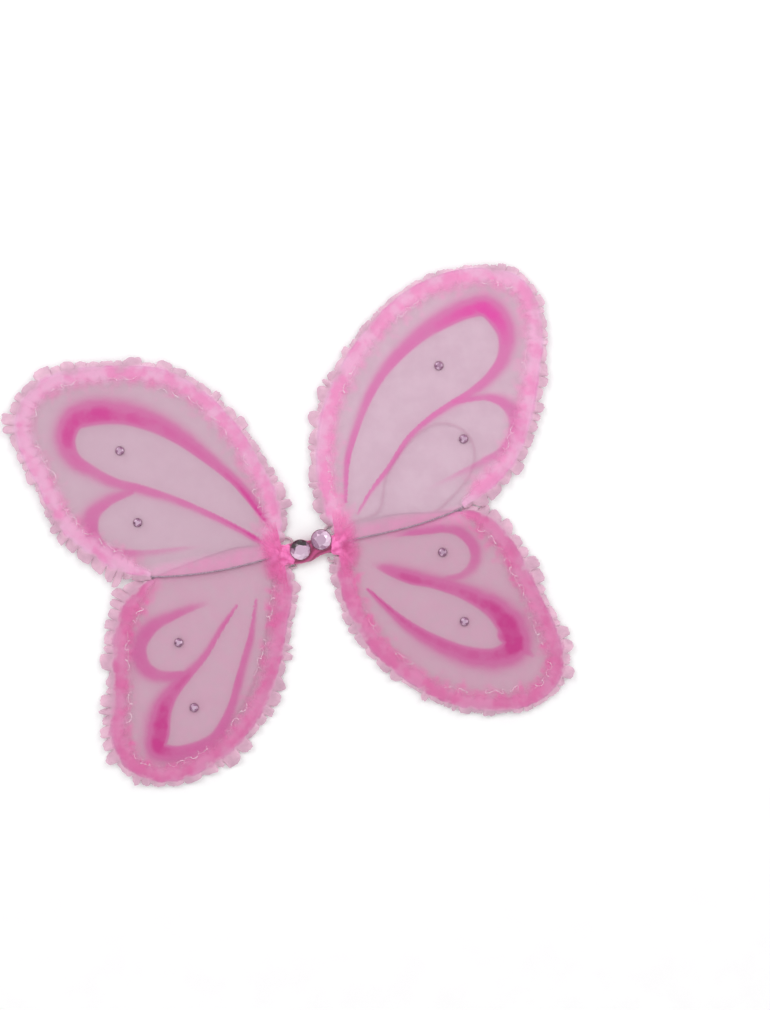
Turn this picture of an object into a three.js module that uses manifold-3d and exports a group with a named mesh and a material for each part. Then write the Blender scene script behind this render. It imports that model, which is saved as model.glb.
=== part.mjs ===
// Child's fairy wings: sheer skins on wire loops, with a gathered trim, glued stones and elastic arm loops.
// They lie on their back with the decorated face up. Millimetres: X runs across the wings, Y towards the
// wearer's head, and Z out of the decorated face. The origin is the middle of the centre wrap's flat back.

import * as THREE from 'three';
import { mergeVertices } from 'three/addons/utils/BufferGeometryUtils.js';
import Module from 'manifold-3d';

const wasm = await Module();
wasm.setup();

// Overall size
const span = 511;
const height = 422;

// Frame and fabric
const wireDiameter = 1.6;
const elasticDiameter = 2.4;
const skinThickness = 0.6;
const bandWidth = 22; // glued part of the trim, inside the wire
const bandThickness = 2;
const gap = 0.3; // between pieces that touch
const loopClearance = 0.4; // between the upper and the lower wire where they cross

// Stones
const gemDiameter = 19.5;
const gemHeight = 6;
const gemSpacing = 1.3; // between the two gems, along X
const gemShift = [1.8, 4.75]; // of the pair, from the middle of the wrap
const gemStep = 5.5; // the right gem sits this much higher than the left one
const stoneDiameter = 8.5;
const stoneHeight = 3;

// Centre
const wrapMargin = 0.55; // from the right gem's edge to the wrap's end
const wrapWidth = 19;
const wrapHeight = 9;
const wrapCorner = 3.5; // radius of the wrap's two upper edges
const coreDiameter = 6;
const foldClearance = 0.55; // from the wrap's end to the fold axis, and again to the wing's root
const bindingLength = 4;
const bindingWall = 1.2;
const wireSpacing = 0.75; // between the wire ends, side by side in the binding
const wireStraight = 0.8; // the wires run straight this far past the binding
const anchorX = 15; // where each elastic leaves the wrap's sides

// How finely the curved pieces are cut into flat faces
const stepsPerRow = 3; // along an outline, from one of its points to the next
const loopSteps = 76;
const loopSides = 8;
const wireSides = 6;
const coreSides = 12;
const gemFacets = 12;
const stoneFacets = 8;
const cornerSteps = 4;

const gemX = (gemDiameter + gemSpacing) / 2;
const wrapLength = 2 * (gemX + gemShift[0] + gemDiameter / 2 + wrapMargin);
const wirePitch = wireDiameter + wireSpacing;

// Levels, from the surface that the wings lie on
const lowerWireZ = elasticDiameter + gap + wireDiameter / 2;
const upperWireZ = lowerWireZ + wireDiameter + loopClearance;
const rootX = wrapLength / 2 + 2 * foldClearance; // where each wing starts
const bindingEnd = rootX + bindingLength;

// The size that the outlines below are drawn at, which stretch to the overall size
const drawnSpan = 511;
const drawnHeight = 422;
const drawnRootX = 23.6;

// Each loop's wire, clockwise on the right wing, from the binding round the lobe and back to it. A row is
// [x, y] or, where the trim is glued on, [x, y, how far the frill stands past the wire].
const rightUpperRows = [
  [29, 13], [22, 29, 6], [19.5, 52, 8], [23, 85, 8], [35, 122, 7], [58, 158, 6], [95, 195, 3],
  [135, 219, 4], [175, 228, 2], [212, 225, 3], [238, 212, 4], [250, 187, 4], [249, 152, 3],
  [240, 122, 6], [224, 80, 7], [204, 47, 7], [188, 33, 8], [173, 23, 12], [158, 16.5, 4], [143, 11],
  [105, 4.5], [68, 2.5], [38, 2],
];
const rightLowerRows = [
  [40, 13], [65, 17], [88, 17], [115, 13], [143, 9.5], [157, 6, 4], [171, -4, 10], [185, -27, 6],
  [195, -60, 8], [203, -88, 6], [210, -118, 8], [211, -143, 8], [204, -162, 6], [185, -176, 3],
  [155, -181, 2], [125, -175, 3], [95, -161, 5], [65, -135, 4], [43, -108, 5], [29, -78, 7],
  [22, -45, 8], [22, -22, 7], [28, -10],
];
const leftUpperRows = [
  [29, 14], [21, 30, 7], [21, 52, 8], [25, 74, 8], [33, 98, 7], [47, 130, 6], [70, 164, 6], [100, 189, 5],
  [145, 202, 6], [192, 206, 6], [220, 199, 7], [238, 184, 9], [247, 162, 7], [245, 138, 5],
  [236, 108, 5], [229, 78, 5], [217, 55, 8], [193, 29, 8], [177, 16, 11], [160, 7.5, 4], [145, 3],
  [115, -1], [85, -2.5], [55, -1.5], [38, 0],
];
const leftLowerRows = [
  [38, 10], [65, 15], [95, 12], [125, 7], [145, 3], [160, -3, 4], [175, -13, 10], [191, -38, 8],
  [198, -65, 8], [205, -97, 7], [213, -132, 7], [207, -162, 8], [186, -181, 5], [158, -186, 3],
  [125, -177, 8], [95, -160, 8], [72, -138, 7], [55, -113, 7], [42, -85, 6], [33, -60, 6], [25, -38, 8],
  [23.5, -22, 4], [28, -10],
];

// The line in the notch where each wing's upper and lower trims meet
const rightNotch = [[150, 12], [178, 8.4]];
const leftNotch = [[150, 3], [180, 0.7]];

// Small stones on each lobe, as [x, y]
const stoneSpots = {
  right_wing_upper: [[150, 145], [159.5, 74]],
  right_wing_lower: [[120.5, -25.5], [128, -92.5]],
  left_wing_upper: [[155.5, 124], [152, 55.5]],
  left_wing_lower: [[136, -61], [133.5, -123]],
};

// The elastic arm loops, laid flat behind the wings, from one side of the wrap to the other
const rightLoopRoute = [
  [15.6, 13.5], [19.5, 18], [27, 19.5], [44, 19], [66, 21.5], [73, 28], [77, 39], [82, 52], [91, 64],
  [105, 77], [122, 88], [138, 92.5], [150, 90], [160, 83], [166, 73], [167.5, 61], [164, 48],
  [155, 36], [143, 26], [130, 17.5], [116, 11], [95, 8], [68, 8], [48, 5], [36, -3], [28, -11],
  [20, -14.5], [15.9, -13.2],
];
const leftLoopRoute = [
  [15.7, 13.2], [20, 15.5], [28, 13], [34, 5], [38, -10], [42, -28], [48, -47], [55, -67], [63, -88],
  [75, -110], [88, -128], [99, -140], [102.5, -147.5], [99, -153.5], [92, -152], [81, -141],
  [65, -119], [52, -94], [44, -72], [37.5, -50], [32.5, -31], [29.5, -18], [24, -13], [19, -13.2],
  [15.9, -12.6],
];

function stretch([x, y]) {
  const scale = (span / 2 - rootX) / (drawnSpan / 2 - drawnRootX);
  return [rootX + (x - drawnRootX) * scale, y * height / drawnHeight];
}

const colours = {
  skin: 0xd6b8cc,
  trim: 0xee8cbc,
  wire: 0x6b6470,
  satin: 0xa83a6c,
  ribbon: 0xf067ae,
  elastic: 0xd8c9cf,
  stone: 0xc9a8c8,
};

function material(colour, roughness, metalness = 0) {
  return new THREE.MeshStandardMaterial({ color: colour, roughness, metalness });
}

function addMesh(parent, name, geometry, look) {
  const mesh = new THREE.Mesh(geometry, look);
  mesh.name = name;
  parent.add(mesh);
  return mesh;
}

// A planar curve through points, sampled evenly between the points so that tight bends stay round.
class Route extends THREE.CatmullRomCurve3 {
  constructor(points, z) {
    super(points.map(([x, y]) => new THREE.Vector3(x, y, z)), false, 'centripetal');
  }

  getPointAt(u, target) {
    return this.getPoint(u, target);
  }

  getTangentAt(u, target) {
    return this.getTangent(u, target);
  }
}

function tube(route, diameter, sides, steps) {
  const section = new THREE.Shape(
    Array.from({ length: sides }, (_, i) => {
      const angle = 2 * Math.PI * i / sides;
      return new THREE.Vector2(diameter / 2 * Math.cos(angle), diameter / 2 * Math.sin(angle));
    }),
  );
  return new THREE.ExtrudeGeometry(section, { extrudePath: route, steps });
}

function plate(outline, bottom, thickness, hole) {
  const shape = new THREE.Shape(outline);
  if (hole) shape.holes.push(new THREE.Path(hole));
  const geometry = new THREE.ExtrudeGeometry(shape, { depth: thickness, bevelEnabled: false });
  return geometry.translate(0, 0, bottom);
}

function solid(geometry) {
  const bare = geometry.clone();
  bare.deleteAttribute('normal');
  bare.deleteAttribute('uv');
  const merged = mergeVertices(bare, 1e-4);
  return new wasm.Manifold(new wasm.Mesh({
    numProp: 3,
    vertProperties: new Float32Array(merged.attributes.position.array),
    triVerts: new Uint32Array(merged.index.array),
  }));
}

function geometryOf(body) {
  const mesh = body.getMesh();
  const geometry = new THREE.BufferGeometry();
  geometry.setAttribute('position', new THREE.BufferAttribute(new Float32Array(mesh.vertProperties), 3));
  geometry.setIndex(new THREE.BufferAttribute(new Uint32Array(mesh.triVerts), 1));
  geometry.computeVertexNormals();
  return geometry;
}

// One lobe's wire as a route, with the sideways offset that its skin and trim are cut to.
class Lobe {
  constructor(side, rows, endYs, z) {
    this.side = side;
    this.z = z;
    const straight = bindingEnd + wireStraight;
    const [startY, endY] = endYs;
    const loop = rows.map((row) => stretch(row));
    const points = [[rootX, startY], [straight, startY], ...loop, [straight, endY], [rootX, endY]];
    this.frills = [0, 0, ...rows.map((row) => row[2] ?? 0), 0, 0];
    this.route = new Route(points.map(([x, y]) => [side * x, y]), z);
    this.rowCount = points.length;
    this.firstTrimmed = this.frills.findIndex((frill) => frill > 0);
    this.lastTrimmed = this.frills.findLastIndex((frill) => frill > 0);
  }

  // A point on the wire at a row number, moved outwards by a distance.
  beside(row, outwards) {
    const t = row / (this.rowCount - 1);
    const point = this.route.getPoint(t);
    const along = this.route.getTangent(t);
    const turn = -this.side * outwards;
    return new THREE.Vector2(point.x + along.y * turn, point.y - along.x * turn);
  }

  frillAt(row) {
    const before = Math.min(Math.floor(row), this.rowCount - 2);
    return THREE.MathUtils.lerp(this.frills[before], this.frills[before + 1], row - before);
  }

  // Points beside the wire from one row to another.
  edge(from, to, offset) {
    const steps = Math.round((to - from) * stepsPerRow);
    return Array.from({ length: steps + 1 }, (_, i) => {
      const row = from + (to - from) * i / steps;
      return this.beside(row, typeof offset === 'function' ? offset(row) : offset);
    });
  }
}

function skinGeometry(lobe) {
  const inset = -(wireDiameter / 2 + gap);
  const outline = lobe.edge(2, lobe.rowCount - 3, inset);
  return plate(outline, lobe.z - skinThickness / 2, skinThickness);
}

// A block on one side of the notch's line: above it for the lower trim, and below it for the upper trim.
function notchCutter(side, notch, upwards) {
  const [start, end] = notch.map(stretch).map(([x, y]) => new THREE.Vector2(side * x, y));
  const along = end.clone().sub(start);
  const length = along.length() + 4 * bandWidth; // past both ends of the overlap, with room to spare
  const block = new THREE.BoxGeometry(length, bandWidth, 4 * upperWireZ);
  block.translate(0, side * upwards * (bandWidth - gap) / 2, 0);
  block.rotateZ(along.angle());
  return solid(block.translate(start.x + along.x / 2, start.y + along.y / 2, 0));
}

// The trim is a band glued over the wire, joined to a frill that hangs past the wire to the ground.
function trimGeometry(lobe, cutter) {
  const from = lobe.firstTrimmed;
  const to = lobe.lastTrimmed;
  const top = lobe.z + wireDiameter / 2 + gap;
  const outer = lobe.edge(from, to, (row) => lobe.frillAt(row) + wireDiameter / 2);
  const strip = (offset) => [...outer, ...lobe.edge(from, to, offset).reverse()];
  const band = solid(plate(strip(-bandWidth), top, bandThickness));
  const frill = solid(plate(strip(wireDiameter / 2 + gap), 0, top + bandThickness));
  return geometryOf(band.add(frill).subtract(cutter));
}

// A cut stone: flat back, sloping facets and a flat table.
function stoneGeometry(diameter, depth, facets) {
  const radius = diameter / 2;
  const girdle = depth * 0.25;
  const profile = [[0, 0], [radius * 0.94, 0], [radius, girdle], [radius * 0.8, depth * 0.7],
    [radius * 0.5, depth], [0, depth]];
  const geometry = new THREE.LatheGeometry(profile.map(([x, y]) => new THREE.Vector2(x, y)), facets);
  return geometry.rotateX(Math.PI / 2);
}

// A section in the YZ plane, extruded along X from one place to another.
function alongX(shape, from, to) {
  const settings = { depth: to - from, bevelEnabled: false, curveSegments: cornerSteps };
  const geometry = new THREE.ExtrudeGeometry(shape, settings);
  geometry.rotateX(Math.PI / 2).rotateZ(Math.PI / 2);
  return geometry.translate(from, 0, 0);
}

function wrapGeometry() {
  const half = wrapWidth / 2;
  const shape = new THREE.Shape();
  shape.moveTo(-half, 0);
  shape.lineTo(half, 0);
  shape.lineTo(half, wrapHeight - wrapCorner);
  shape.absarc(half - wrapCorner, wrapHeight - wrapCorner, wrapCorner, 0, Math.PI / 2);
  shape.lineTo(wrapCorner - half, wrapHeight);
  shape.absarc(wrapCorner - half, wrapHeight - wrapCorner, wrapCorner, Math.PI / 2, Math.PI);
  shape.closePath();
  const bore = new THREE.Path();
  bore.absarc(0, wrapHeight / 2, coreDiameter / 2 + gap, 0, 2 * Math.PI);
  shape.holes.push(bore);
  return alongX(shape, -wrapLength / 2, wrapLength / 2);
}

function coreGeometry() {
  const radius = coreDiameter / 2;
  const geometry = new THREE.CylinderGeometry(radius, radius, wrapLength - 2 * gap, coreSides);
  return geometry.rotateZ(Math.PI / 2).translate(0, 0, wrapHeight / 2);
}

function rectangle(halfWidth, bottom, top) {
  return [[-halfWidth, bottom], [halfWidth, bottom], [halfWidth, top], [-halfWidth, top]]
    .map(([x, y]) => new THREE.Vector2(x, y));
}

const bindingHalfWidth = 1.5 * wirePitch + wireDiameter / 2 + gap + bindingWall;
const bindingBottom = lowerWireZ - wireDiameter / 2 - gap - bindingWall;
const bindingTop = upperWireZ + wireDiameter / 2 + gap + bindingWall;

function bindingGeometry(side) {
  const shape = new THREE.Shape(rectangle(bindingHalfWidth, bindingBottom, bindingTop));
  const wall = bindingWall;
  const inside = rectangle(bindingHalfWidth - wall, bindingBottom + wall, bindingTop - wall);
  shape.holes.push(new THREE.Path(inside));
  return side > 0 ? alongX(shape, rootX, bindingEnd) : alongX(shape, -bindingEnd, -rootX);
}

function armLoop(side, route) {
  const wall = wrapWidth / 2 + gap;
  const points = [[anchorX, wall], ...route, [anchorX, -wall]].map(([x, y]) => [side * x, y]);
  return tube(new Route(points, elasticDiameter / 2), elasticDiameter, loopSides, loopSteps);
}

function buildWing(side, name, upperRows, lowerRows, notch) {
  const wing = new THREE.Group();
  const upper = new Lobe(side, upperRows, [1.5 * wirePitch, 0.5 * wirePitch], upperWireZ);
  const lower = new Lobe(side, lowerRows, [-0.5 * wirePitch, -1.5 * wirePitch], lowerWireZ);
  for (const [lobeName, lobe, upwards] of [['upper', upper, -1], ['lower', lower, 1]]) {
    const full = `${name}_${lobeName}`;
    const wire = tube(lobe.route, wireDiameter, wireSides, (lobe.rowCount - 1) * stepsPerRow);
    addMesh(wing, `${full}_wire`, wire, material(colours.wire, 0.45, 0.8));
    addMesh(wing, `${full}_skin`, skinGeometry(lobe), material(colours.skin, 0.6));
    const trim = trimGeometry(lobe, notchCutter(side, notch, upwards));
    addMesh(wing, `${full}_trim`, trim, material(colours.trim, 0.7));
    stoneSpots[full].map(stretch).forEach(([x, y], i) => {
      const stone = stoneGeometry(stoneDiameter, stoneHeight, stoneFacets);
      const mesh = addMesh(wing, `${full}_stone_${i + 1}`, stone, material(colours.stone, 0.15));
      mesh.position.set(side * x, y, lobe.z + skinThickness / 2 + gap);
    });
  }
  addMesh(wing, `${name}_root_binding`, bindingGeometry(side), material(colours.ribbon, 0.5));
  return wing;
}

const wings = new THREE.Group();
addMesh(wings, 'centre_wrap', wrapGeometry(), material(colours.satin, 0.5));
addMesh(wings, 'centre_core', coreGeometry(), material(colours.wire, 0.45, 0.8));
for (const [name, side] of [['left', -1], ['right', 1]]) {
  const stone = stoneGeometry(gemDiameter, gemHeight, gemFacets);
  const gem = addMesh(wings, `${name}_gem`, stone, material(colours.stone, 0.1));
  gem.position.set(gemShift[0] + side * gemX, gemShift[1] + side * gemStep / 2, wrapHeight + gap);
}
addMesh(wings, 'right_arm_loop', armLoop(1, rightLoopRoute), material(colours.elastic, 0.8));
addMesh(wings, 'left_arm_loop', armLoop(-1, leftLoopRoute), material(colours.elastic, 0.8));
wings.add(buildWing(1, 'right_wing', rightUpperRows, rightLowerRows, rightNotch));
wings.add(buildWing(-1, 'left_wing', leftUpperRows, leftLowerRows, leftNotch));

export default wings;
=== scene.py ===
# %% [markdown]
# # A child's fairy wings
# These wings are two wire butterfly shapes with sheer nylon stretched over them, a gathered organza trim, a few
# glued stones, a satin wrap in the middle and two elastic arm loops. This lesson builds their looks over a packed
# model that already has the right sizes and joints. Every length below is in metres, and a drawn point is in
# millimetres times MM.

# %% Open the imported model
import math

import bpy
import numpy as np
from mathutils import Matrix, Vector
from mathutils.geometry import delaunay_2d_cdt


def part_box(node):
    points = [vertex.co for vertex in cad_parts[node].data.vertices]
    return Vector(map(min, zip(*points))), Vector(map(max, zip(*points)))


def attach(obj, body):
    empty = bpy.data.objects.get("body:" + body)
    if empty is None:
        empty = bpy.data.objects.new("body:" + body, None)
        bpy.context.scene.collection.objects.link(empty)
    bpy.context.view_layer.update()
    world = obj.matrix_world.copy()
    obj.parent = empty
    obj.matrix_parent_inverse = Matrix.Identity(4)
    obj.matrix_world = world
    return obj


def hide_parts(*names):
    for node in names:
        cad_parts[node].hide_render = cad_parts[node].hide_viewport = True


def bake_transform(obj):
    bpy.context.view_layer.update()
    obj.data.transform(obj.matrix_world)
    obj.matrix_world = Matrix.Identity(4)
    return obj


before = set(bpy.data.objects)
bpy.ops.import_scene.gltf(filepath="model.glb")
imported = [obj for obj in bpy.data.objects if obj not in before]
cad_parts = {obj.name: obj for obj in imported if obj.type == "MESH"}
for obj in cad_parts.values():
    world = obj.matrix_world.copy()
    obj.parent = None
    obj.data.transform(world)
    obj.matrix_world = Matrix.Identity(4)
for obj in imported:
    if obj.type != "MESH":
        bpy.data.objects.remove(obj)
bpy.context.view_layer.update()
scene = bpy.context.scene
MM = 0.001

# %% [markdown]
# The camera looks straight down on the wings, turned a little, as they lie on a table. A long lens from far above
# keeps the flat shapes free of perspective. The room around the wings is left for a headband and a wand that aren't
# built here.

# %% Camera
VIEW_HEIGHT = 0.939
VIEW_MIDDLE = (0.0763, 0.0278)
VIEW_TURN = math.radians(-11)
CAMERA_HEIGHT = 2.6
SENSOR_WIDTH = 36  # in millimetres, as Blender has it

lens = bpy.data.cameras.new("camera")
lens.sensor_width = SENSOR_WIDTH
lens.lens = SENSOR_WIDTH * CAMERA_HEIGHT / VIEW_HEIGHT
camera = bpy.data.objects.new("camera", lens)
camera.location = (*VIEW_MIDDLE, CAMERA_HEIGHT)
camera.rotation_euler = (0, 0, VIEW_TURN)
scene.collection.objects.link(camera)
scene.camera = camera
print("lens of", round(lens.lens), "mm")

# %% [markdown]
# Most pieces follow a drawn line: a wire, a cord or the edge of a cloth. A Catmull-Rom curve passes through every
# drawn point, and its centripetal form never loops on itself. Blender has Bezier and NURBS curves, but a few lines
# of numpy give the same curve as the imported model's wires, and let cloth be measured from it.


# %% A smooth line through points
def smooth_line(points, per_step=16):
    """Points along a centripetal Catmull-Rom curve, with the drawn step that each one belongs to."""
    p = np.array(points, float)
    p = np.vstack([2 * p[0] - p[1], p, 2 * p[-1] - p[-2]])
    t = np.linspace(0, 1, per_step, endpoint=False)[:, None]
    line, step = [], []
    for i in range(1, len(p) - 2):
        before, start, end, after = p[i - 1 : i + 3]
        d0, d1, d2 = (math.sqrt(np.linalg.norm(b - a)) for a, b in ((before, start), (start, end), (end, after)))
        leave = ((start - before) / d0 - (end - before) / (d0 + d1) + (end - start) / d1) * d1
        arrive = ((end - start) / d1 - (after - start) / (d1 + d2) + (after - end) / d2) * d1
        line.append(
            (2 * t**3 - 3 * t**2 + 1) * start
            + (t**3 - 2 * t**2 + t) * leave
            + (3 * t**2 - 2 * t**3) * end
            + (t**3 - t**2) * arrive
        )
        step.append(i - 1 + t[:, 0])
    return np.vstack([*line, p[-2:-1]]), np.append(np.concatenate(step), len(points) - 1)


def lengths_along(line):
    """How far along the line each of its points is."""
    return np.concatenate([[0], np.cumsum(np.linalg.norm(np.diff(line, axis=0), axis=1))])


print("a line through 3 points has", len(smooth_line([[0, 0], [1, 0], [1, 1]])[0]), "points")

# %% [markdown]
# Cloth, cord and wire are all sheets or tubes of points worked out with numpy. Blender's modifiers could bend a
# ready shape instead, but points give each fold its own place. A piece is told which body it rides on, so that it
# moves with that body when a joint turns.


# %% Meshes from points
def make_piece(name, points, faces, material, body=None, smooth=True):
    """A mesh object from points and faces, riding on a body if one is given."""
    mesh = bpy.data.meshes.new(name)
    mesh.from_pydata(np.asarray(points).tolist(), [], [list(f) for f in faces])
    mesh.polygons.foreach_set("use_smooth", [smooth] * len(mesh.polygons))
    mesh.materials.append(material)
    mesh.update()
    piece = bpy.data.objects.new(name, mesh)
    scene.collection.objects.link(piece)
    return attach(piece, body) if body else piece


def note(piece, name, values):
    """Keeps one number for each of the mesh's points, which a material can read by name."""
    layer = piece.data.attributes.new(name, "FLOAT", "POINT")
    layer.data.foreach_set("value", np.asarray(values, np.float32).ravel())


def grid_faces(rows, columns, closed=False):
    """Four-sided faces between rows of points; a closed grid also joins its last column to its first."""
    faces = []
    for row in range(rows - 1):
        for column in range(columns if closed else columns - 1):
            here, beside = row * columns + column, row * columns + (column + 1) % columns
            faces.append((here, beside, beside + columns, here + columns))
    return faces


def tube(name, line, radius, material, body=None, sides=10, swell=None):
    """A round tube along a line, with its length and turn noted for the material; swell varies its radius."""
    line = np.asarray(line, float)
    along = np.gradient(line, axis=0)
    along /= np.linalg.norm(along, axis=1)[:, None]
    across = np.cross(along, [0, 0, 1.0])
    across /= np.linalg.norm(across, axis=1)[:, None]
    up = np.cross(across, along)
    turn = np.linspace(0, 2 * math.pi, sides, endpoint=False)
    size = np.full(len(line), radius) if swell is None else radius * swell
    ring = across[:, None] * np.cos(turn)[None, :, None] + up[:, None] * np.sin(turn)[None, :, None]
    points = (line[:, None] + ring * size[:, None, None]).reshape(-1, 3)
    faces = grid_faces(len(line), sides, closed=True)
    faces += [tuple(range(sides))[::-1], tuple(range(len(points) - sides, len(points)))]
    piece = make_piece(name, points, faces, material, body)
    note(piece, "along", np.repeat(lengths_along(line), sides))
    note(piece, "around", np.tile(turn / (2 * math.pi), len(line)))
    return piece


print("mesh helpers ready")

# %% [markdown]
# A finish is a Principled shader with a few nodes in front of it. Colour varies by noise or by a number that the
# mesh keeps at each point, so it stays on the cloth when a wing folds. What is the same all over is set on the
# shader itself.


# %% Materials from nodes
def new_look(name, **sockets):
    """A material with its Principled shader; the sockets given are the same all over the surface."""
    material = bpy.data.materials.new(name)
    material.use_nodes = True
    shader = material.node_tree.nodes["Principled BSDF"]
    for socket, value in sockets.items():
        shader.inputs[socket.replace("_", " ")].default_value = value
    return material, shader


def add(material, kind, inputs=(), **settings):
    """Adds a node. An input is a number or colour, or another node's output to link."""
    node = material.node_tree.nodes.new("ShaderNode" + kind)
    for key, value in settings.items():
        setattr(node, key, value)
    for key, value in dict(inputs).items():
        if isinstance(value, bpy.types.NodeSocket):
            material.node_tree.links.new(value, node.inputs[key])
        else:
            node.inputs[key].default_value = value
    return node


def mixed(material, amount, first, second):
    """One colour turning into another."""
    return add(material, "Mix", {0: amount, 6: first, 7: second}, data_type="RGBA").outputs[2]


def ranged(material, value, low, high, to_low=0.0, to_high=1.0):
    """A value brought from one range into another, and held there."""
    inputs = {"Value": value, "From Min": low, "From Max": high, "To Min": to_low, "To Max": to_high}
    return add(material, "MapRange", inputs, interpolation_type="SMOOTHSTEP").outputs[0]


def worked(material, operation, first, second=0.0):
    """A sum, product or other step on values."""
    return add(material, "Math", {0: first, 1: second}, operation=operation).outputs[0]


def noted(material, name):
    """The number that a mesh keeps under this name."""
    return add(material, "Attribute", attribute_name=name).outputs["Fac"]


def speckle(material, scale, detail=3.0, vector=None):
    """Noise over the object's own space; a scale of 100 has spots about a centimetre wide."""
    vector = vector or add(material, "TexCoord").outputs["Object"]
    return add(material, "TexNoise", {"Vector": vector, "Scale": scale, "Detail": detail}).outputs[0]


def finish_look(material, shader, **outputs):
    """Links node outputs to the shader's sockets, and a height through a Bump node."""
    for socket, output in outputs.items():
        if socket == "height":
            height, strength, distance = output
            inputs = {"Height": height, "Strength": strength, "Distance": distance}
            output, socket = add(material, "Bump", inputs).outputs[0], "Normal"
        material.node_tree.links.new(output, shader.inputs[socket.replace("_", " ")])
    return material


def rgb(red, green, blue):
    """A colour from 0 to 255 as seen on screen, as the linear numbers that Blender uses."""
    seen = [v / 255 for v in (red, green, blue)]
    return (*[v / 12.92 if v < 0.04045 else ((v + 0.055) / 1.055) ** 2.4 for v in seen], 1.0)


print("material helpers ready")

# %% [markdown]
# The arm loops are thin round elastic, covered with a braid of pale thread. Each loop leaves one side of the wrap,
# lies loose behind its wing and goes back in at the other side. The cord is a tube along its route, and the braid is
# two sets of slanting ridges made by sine waves of the noted length and turn, which cross like a real braid.

# %% Braided elastic
braid, shader = new_look("braided_elastic", Roughness=0.75, Sheen_Weight=0.4)
BRAID_STEP, BRAID_STRANDS = 0.0016, 4
slant = worked(braid, "MULTIPLY", noted(braid, "along"), 2 * math.pi / BRAID_STEP)
spin = worked(braid, "MULTIPLY", noted(braid, "around"), 2 * math.pi * BRAID_STRANDS)
# Painted shade: the grooves between the braid's ridges are painted darker and the crests lighter; the same waves also
# set the bump.
ridges_and_painted_shade = worked(
    braid,
    "MAXIMUM",
    worked(braid, "SINE", worked(braid, "ADD", slant, spin)),
    worked(braid, "SINE", worked(braid, "SUBTRACT", slant, spin)),
)
finish_look(
    braid,
    shader,
    Base_Color=mixed(braid, ranged(braid, ridges_and_painted_shade, -0.2, 0.9), rgb(186, 146, 162), rgb(226, 196, 208)),
    height=(ridges_and_painted_shade, 0.5, 0.0002),
)
print("material", braid.name)

# %% Arm loops
ELASTIC_DIAMETER = 0.0024
ANCHOR_X, ANCHOR_Y = 0.015, 0.0098
SIDES = {"left": -1, "right": 1}
right_route = [
    [15.6, 13.5], [19.5, 18], [27, 19.5], [44, 19], [66, 21.5], [73, 28], [77, 39], [82, 52], [91, 64],
    [105, 77], [122, 88], [138, 92.5], [150, 90], [160, 83], [166, 73], [167.5, 61], [164, 48],
    [155, 36], [143, 26], [130, 17.5], [116, 11], [95, 8], [68, 8], [48, 5], [36, -3], [28, -11],
    [20, -14.5], [15.9, -13.2],
]
left_route = [
    [15.7, 13.2], [20, 15.5], [28, 13], [34, 5], [38, -10], [42, -28], [48, -47], [55, -67], [63, -88],
    [75, -110], [88, -128], [99, -140], [102.5, -147.5], [99, -153.5], [92, -152], [81, -141],
    [65, -119], [52, -94], [44, -72], [37.5, -50], [32.5, -31], [29.5, -18], [24, -13], [19, -13.2],
    [15.9, -12.6],
]


def arm_loop(wing, route):
    """An elastic cord along a drawn route, with both ends in the wrap."""
    side, radius = SIDES[wing], ELASTIC_DIAMETER / 2
    points = np.vstack([[ANCHOR_X, ANCHOR_Y], np.array(route) * MM, [ANCHOR_X, -ANCHOR_Y]]) * (side, 1)
    line = smooth_line(points, 10)[0]
    line = np.column_stack([line, np.full(len(line), radius)])
    piece = tube(f"{wing}_arm_elastic", line, radius, braid, f"{wing}_loop", sides=12)
    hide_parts(f"{wing}_arm_loop")


arm_loop("left", left_route)
arm_loop("right", right_route)

# %% [markdown]
# Each wing has an upper and a lower lobe, and each lobe is one wire bent from the root and back. The rows below are
# the wire's drawn points, in the order that the wire runs, and a third number is how far the trim's frill reaches
# past the wire there. The left wing is drawn as if it were on the right and then mirrored, because the two wings
# are bent by hand and differ.

# %% Outlines of the four lobes
outlines = {
    ("right", "upper"): [
        [29, 13], [22, 29, 6], [19.5, 52, 8], [23, 85, 8], [35, 122, 7], [58, 158, 6], [95, 195, 3],
        [135, 219, 4], [175, 228, 2], [212, 225, 3], [238, 212, 4], [250, 187, 4], [249, 152, 3],
        [240, 122, 6], [224, 80, 7], [204, 47, 7], [188, 33, 8], [173, 23, 12], [158, 16.5, 4], [143, 11],
        [105, 4.5], [68, 2.5], [38, 2],
    ],
    ("right", "lower"): [
        [40, 13], [65, 17], [88, 17], [115, 13], [143, 9.5], [157, 6, 4], [171, -4, 10], [185, -27, 6],
        [195, -60, 8], [203, -88, 6], [210, -118, 8], [211, -143, 8], [204, -162, 6], [185, -176, 3],
        [155, -181, 2], [125, -175, 3], [95, -161, 5], [65, -135, 4], [43, -108, 5], [29, -78, 7],
        [22, -45, 8], [22, -22, 7], [28, -10],
    ],
    ("left", "upper"): [
        [29, 14], [21, 30, 7], [21, 52, 8], [25, 74, 8], [33, 98, 7], [47, 130, 6], [70, 164, 6],
        [100, 189, 5], [145, 202, 6], [192, 206, 6], [220, 199, 7], [238, 184, 9], [247, 162, 7],
        [245, 138, 5], [236, 108, 5], [229, 78, 5], [217, 55, 8], [193, 29, 8], [177, 16, 11],
        [160, 7.5, 4], [145, 3], [115, -1], [85, -2.5], [55, -1.5], [38, 0],
    ],
    ("left", "lower"): [
        [38, 10], [65, 15], [95, 12], [125, 7], [145, 3], [160, -3, 4], [175, -13, 10], [191, -38, 8],
        [198, -65, 8], [205, -97, 7], [213, -132, 7], [207, -162, 8], [186, -181, 5], [158, -186, 3],
        [125, -177, 8], [95, -160, 8], [72, -138, 7], [55, -113, 7], [42, -85, 6], [33, -60, 6],
        [25, -38, 8], [23.5, -22, 4], [28, -10],
    ],
}
print("drawn lobes:", len(outlines))

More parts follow.
